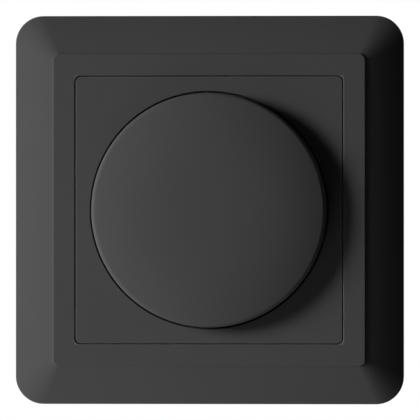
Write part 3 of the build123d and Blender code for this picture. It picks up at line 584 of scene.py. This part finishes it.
cover_grey = (0.0475, 0.0475, 0.0482)
every_finish = (
    # Frame and plate get painted light at their joint, the knob a painted highlight on its rim.
    cover_plastic("frame_plastic", cover_grey, joint_bounce_and_highlight),
    cover_plastic("plate_plastic", cover_grey, joint_bounce_and_highlight),
    cover_plastic("knob_plastic", cover_grey, knob_rim_highlight),
    plain_moulding("spindle_plastic", (0.74, 0.72, 0.65)),
    plated("clip_steel", (0.34, 0.34, 0.36), smooth=0.35),
    threaded_bush(),
    turned("nut_steel", (0.62, 0.61, 0.58)),
    rolled_sheet("support_steel", (0.58, 0.59, 0.60)),
    cover_screws(),
    plated("can_steel", (0.62, 0.62, 0.61), smooth=0.26),
    plain_moulding("rotor_plastic", (0.035, 0.035, 0.04)),
    plated("wiper_bronze", (0.66, 0.43, 0.22)),
    carbon(),
    phenolic_wafer(),
    plated("tinned_pins", (0.66, 0.65, 0.62)),
    plain_moulding("switch_plastic", (0.66, 0.63, 0.55)),
    plain_moulding("plunger_plastic", (0.40, 0.07, 0.05)),
    plated("contact_bronze", (0.68, 0.42, 0.22)),
    drawn_wire("spring_steel", (0.55, 0.55, 0.56)),
    thermoset("housing_plastic", (0.56, 0.56, 0.53)),
    circuit_laminate(),
    plain_moulding("terminal_plastic", (0.085, 0.085, 0.09)),
    plated("cage_steel", (0.64, 0.62, 0.54)),
    plated("terminal_screw_steel", (0.66, 0.64, 0.56)),
    spark_matt("triac_epoxy", (0.024, 0.024, 0.026), roughness=0.55),
    plated("triac_metal", (0.62, 0.60, 0.56)),
    silicone_pad(),
    block_capacitor("film_case", (0.66, 0.40, 0.04)),
    block_capacitor("timing_case", (0.36, 0.05, 0.03)),
    banded_resistor(),
    lacquered_diac(),
    preset_case(),
    plain_moulding("trimmer_stem", (0.76, 0.74, 0.67)),
    clear_tube(),
    plated("fuse_cap_metal", (0.70, 0.68, 0.63), smooth=0.18),
    drawn_wire("fuse_wire_metal", (0.6, 0.6, 0.58)),
    plated("fuse_clip_metal", (0.68, 0.52, 0.28)),
    painted_core(),
    enamelled_copper(),
)
materials = {finish.name: finish.material for finish in every_finish}

for part in frame["record"]["subparts"]:
    piece = frame["nodes"][part["node"]]
    piece.material_slots[0].material = materials[part["material_slot"]]


# Pieces that follow a rule: the coil spring, and the solder on the board


class Recipe:
    """A Geometry Nodes tree with named sizes, which makes one plain mesh."""

    def __init__(self, name, **sizes):
        self.tree = bpy.data.node_groups.new(name, "GeometryNodeTree")
        self.tree.interface.new_socket("Points", in_out="INPUT", socket_type="NodeSocketGeometry")
        self.tree.interface.new_socket("Mesh", in_out="OUTPUT", socket_type="NodeSocketGeometry")
        self.sizes = sizes
        for size in sizes:
            self.tree.interface.new_socket(size, in_out="INPUT", socket_type="NodeSocketFloat")
        self.inputs = self.tree.nodes.new("NodeGroupInput").outputs
        self.result = self.tree.nodes.new("NodeGroupOutput").inputs["Mesh"]

    def given(self, name):
        return Socket(self.inputs[name])

    def node(self, kind, values, output=0, **settings):
        return add_node(self.tree, "GeometryNode" + kind, settings, values, output)

    def make(self, name, shape, material, points=None):
        """Runs the tree on the points and returns the mesh as a piece of its own."""
        realized = self.node("RealizeInstances", {"Geometry": shape})
        join(self.result, self.node("SetMaterial", {"Geometry": realized, "Material": material}))
        carrier = bpy.data.objects.new(name, points or bpy.data.meshes.new(name))
        bpy.context.scene.collection.objects.link(carrier)
        modifier = carrier.modifiers.new(name, "NODES")
        modifier.node_group = self.tree
        for socket in self.tree.interface.items_tree:
            if socket.name in self.sizes:
                modifier[socket.identifier] = self.sizes[socket.name]
        bpy.context.view_layer.update()
        evaluated = carrier.evaluated_get(bpy.context.evaluated_depsgraph_get())
        made = bpy.data.meshes.new_from_object(evaluated)
        carrier.modifiers.remove(modifier)
        carrier.data = made
        made.name = name
        made.polygons.foreach_set("use_smooth", [True] * len(made.polygons))
        return carrier


def coil_spring():
    """Compression spring with closed ends, made as one fixed mesh; the real one shortens when the knob is
    pressed.
    """
    low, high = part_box("plunger_spring")
    turns = 5
    steps_per_turn = 32
    wire_sides = 12
    closed = 1 / turns
    wire = 0.5 * millimetre
    length = high.y - low.y - wire
    recipe = Recipe("coil", radius=(high.x - low.x - wire) / 2, wire=wire, length=length)
    radius = recipe.given("radius")
    thick = recipe.given("wire")
    ring = {"Start Radius": radius, "End Radius": radius, "Height": 0.0}
    spiral = recipe.node("CurveSpiral", {"Resolution": steps_per_turn, "Rotations": turns, **ring})
    share = recipe.node("SplineParameter", {})
    open_length = recipe.given("length") - thick * 2.0
    first_turn = share.ramp(0.0, closed, to_high=thick)
    free_turns = share.ramp(closed, 1 - closed, to_high=open_length)
    last_turn = share.ramp(1 - closed, 1.0, to_high=thick)
    lift = add_node(recipe.tree, "ShaderNodeCombineXYZ", {}, {"Z": first_turn + free_turns + last_turn})
    helix = recipe.node("SetPosition", {"Geometry": spiral, "Offset": lift})
    section = recipe.node("CurvePrimitiveCircle", {"Resolution": wire_sides, "Radius": thick * 0.5})
    coil = recipe.node("CurveToMesh", {"Curve": helix, "Profile Curve": section, "Fill Caps": True})
    seat = Vector((0, high.y - wire / 2, 0))
    stand = {"Geometry": coil, "Translation": seat, "Rotation": (quarter_turn, 0, 0)}
    spring = recipe.make("plunger_coil", recipe.node("Transform", stand), materials["spring_steel"])
    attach(spring, "insert")
    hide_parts("plunger_spring")
    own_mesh(spring)


def lead_ends():
    """Middle and half widths, in X and Z, of every lead that comes out behind the board."""
    soldered = (
        "film_capacitor", "timing_capacitor", "resistors", "diac", "trimmer", "fuse_clips",
        "choke_winding", "triac_tab", "pot_pins", "switch_contacts", "pot_can",
    )
    widest = 2.2 * millimetre
    tallest = 5.1 * millimetre
    ends = []
    for node in soldered:
        groups = []
        for vertex in frame["nodes"][node].data.vertices:
            if vertex.co.y < board_rear - sharp:
                continue
            spot = vertex.co.xz
            near = [group for group in groups if abs(group[0].x - spot.x) < widest]
            near = [group for group in near if abs(group[0].y - spot.y) < tallest]
            if near:
                near[0].append(spot)
            else:
                groups.append([spot])
        for group in groups:
            low = Vector(map(min, zip(*group)))
            high = Vector(map(max, zip(*group)))
            ends.append(((low + high) / 2, (high - low) / 2))
    return ends


def solder_joints():
    """A small cone of solder round each lead, on the rear of the board."""
    rise = 0.6 * millimetre
    collar = 0.45 * millimetre
    ends = lead_ends()
    points = bpy.data.meshes.new("lead_ends")
    points.from_pydata([(spot.x, board_rear + rise / 2, spot.y) for spot, half in ends], [], [])
    reach = points.attributes.new("reach", "FLOAT_VECTOR", "POINT")
    for number, (spot, half) in enumerate(ends):
        reach.data[number].vector = (half.x + collar, rise, half.y + collar)
    recipe = Recipe("solder", top_share=0.45)
    sides = 20
    rings = 4
    unit = 1.0
    widths = {"Radius Top": recipe.given("top_share"), "Radius Bottom": unit, "Depth": unit}
    cone = recipe.node("MeshCone", {"Vertices": sides, "Side Segments": rings, **widths})
    cone = recipe.node("Transform", {"Geometry": cone, "Translation": (0, 0, -unit / 2)})
    upright = recipe.node("Transform", {"Geometry": cone, "Rotation": (-quarter_turn, 0, 0)})
    size = recipe.node("InputNamedAttribute", {"Name": "reach"}, data_type="FLOAT_VECTOR")
    spots = {"Points": recipe.given("Points"), "Instance": upright, "Scale": size}
    dots = recipe.node("InstanceOnPoints", spots)
    solder = recipe.make("solder_joints", dots, materials["tinned_pins"], points)
    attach(solder, "insert")


coil_spring()
solder_joints()


# Room: a pale floor well below, white all round for the camera only, and soft studio lamps

white = (1.0, 1.0, 1.0, 1.0)


def shows_white(tree):
    """1 for rays that show the background: the camera's, gloss and glass."""
    rays = ("Is Camera Ray", "Is Glossy Ray", "Is Transmission Ray")
    direct, gloss, glass = (add_node(tree, "ShaderNodeLightPath", {}, {}, ray) for ray in rays)
    return direct.larger(gloss).larger(glass)


def pale_floor(half=3.0, low=-0.35):
    """White paper well below, which keeps a faint shadow and can't be seen from underneath."""
    corners = [(-half, -half, low), (half, -half, low), (half, half, low), (-half, half, low)]
    mesh = bpy.data.meshes.new("floor")
    mesh.from_pydata(corners, [], [(0, 1, 2, 3)])
    floor = bpy.data.objects.new("floor", mesh)
    bpy.context.scene.collection.objects.link(floor)
    paper = Finish("floor_paper", (0.80, 0.80, 0.80), roughness=0.9)
    fibre = paper.noise(2 * millimetre)
    paper.paint(fibre, (0.74, 0.74, 0.74), amount=0.05)
    glow_share = 0.95
    share = shows_white(paper.tree) * glow_share
    lit = Socket(paper.shader.outputs["BSDF"])
    glow = paper.node("ShaderNodeEmission", {}, {"Color": white})
    upper = paper.node("ShaderNodeMixShader", {}, {0: share, 1: lit, 2: glow})
    under = paper.node("ShaderNodeNewGeometry", {}, {}, "Backfacing")
    nothing = paper.node("ShaderNodeBsdfTransparent", {}, {})
    one_sided = paper.node("ShaderNodeMixShader", {}, {0: under, 1: upper, 2: nothing})
    join(paper.tree.nodes["Material Output"].inputs["Surface"], one_sided)
    mesh.materials.append(paper.material)


def surround(level):
    """World that is white to the camera, gloss and glass, and lights the object by its level."""
    world = bpy.data.worlds.new("studio")
    bpy.context.scene.world = world
    world.use_nodes = True
    tree = world.node_tree
    strengths = {"Factor": shows_white(tree), "A": level, "B": 1.0}
    background = tree.nodes["Background"].inputs
    join(background["Color"], white)
    join(background["Strength"], add_node(tree, "ShaderNodeMix", {}, strengths))


def lamp(name, place, size, watts, spread=180, aim=(0, 0, 0)):
    """A rectangular soft box that faces a point. A small spread, in degrees, is a deep grid on it."""
    light = bpy.data.lights.new(name, "AREA")
    light.shape = "RECTANGLE"
    light.size, light.size_y = size
    light.energy = watts
    light.spread = math.radians(spread)
    box = bpy.data.objects.new(name, light)
    bpy.context.scene.collection.objects.link(box)
    box.location = place
    box.rotation_euler = (Vector(aim) - Vector(place)).to_track_quat("-Z", "Y").to_euler()


def beside(degrees_left, degrees_up, away):
    """A point in front of the wall, so far to the left of and above the knob's axis."""
    left = math.radians(degrees_left)
    up = math.radians(degrees_up)
    flat = away * math.cos(up)
    return (-flat * math.sin(left), -flat * math.cos(left), away * math.sin(up))


def studio():
    """A gridded key at the left, a faint fill in front, a glow from below and two lamps behind."""
    left = beside(degrees_left=60, degrees_up=10, away=0.6)
    front = beside(degrees_left=0, degrees_up=5, away=0.7)
    lamp("key_box", left, size=(0.22, 0.22), watts=0.42, spread=40)
    lamp("front_fill", front, size=(0.4, 0.4), watts=0.12)
    lamp("low_glow", (-0.06, 0, -0.16), size=(0.28, 0.1), watts=0.30, aim=(-0.01, 0, -0.02))
    lamp("rear_box", (0.3, 0.55, 0.25), size=(0.3, 0.3), watts=0.1, spread=30)
    lamp("rear_fill", (-0.4, 0.4, -0.1), size=(0.2, 0.2), watts=0.012, spread=30)


def camera(away=0.8, degrees_right=1.5):
    """Nearly square on, a little to the right, framed as the photograph."""
    picture_pixels = 420
    pixels_per_metre = 4814.0
    measured_plane = 2 * millimetre
    sensor = 36
    optics = bpy.data.cameras.new("camera")
    eye = bpy.data.objects.new("camera", optics)
    bpy.context.scene.collection.objects.link(eye)
    turn = math.radians(degrees_right)
    eye.location = (away * math.sin(turn), -away * math.cos(turn), 0)
    eye.rotation_euler = (quarter_turn, 0, turn)
    optics.sensor_width = sensor
    optics.lens = sensor * (away - measured_plane) * pixels_per_metre / picture_pixels
    optics.clip_start = 0.01
    bpy.context.scene.camera = eye


pale_floor()
surround(level=0.0)
studio()
camera()
bpy.context.scene.view_settings.view_transform = "Standard"
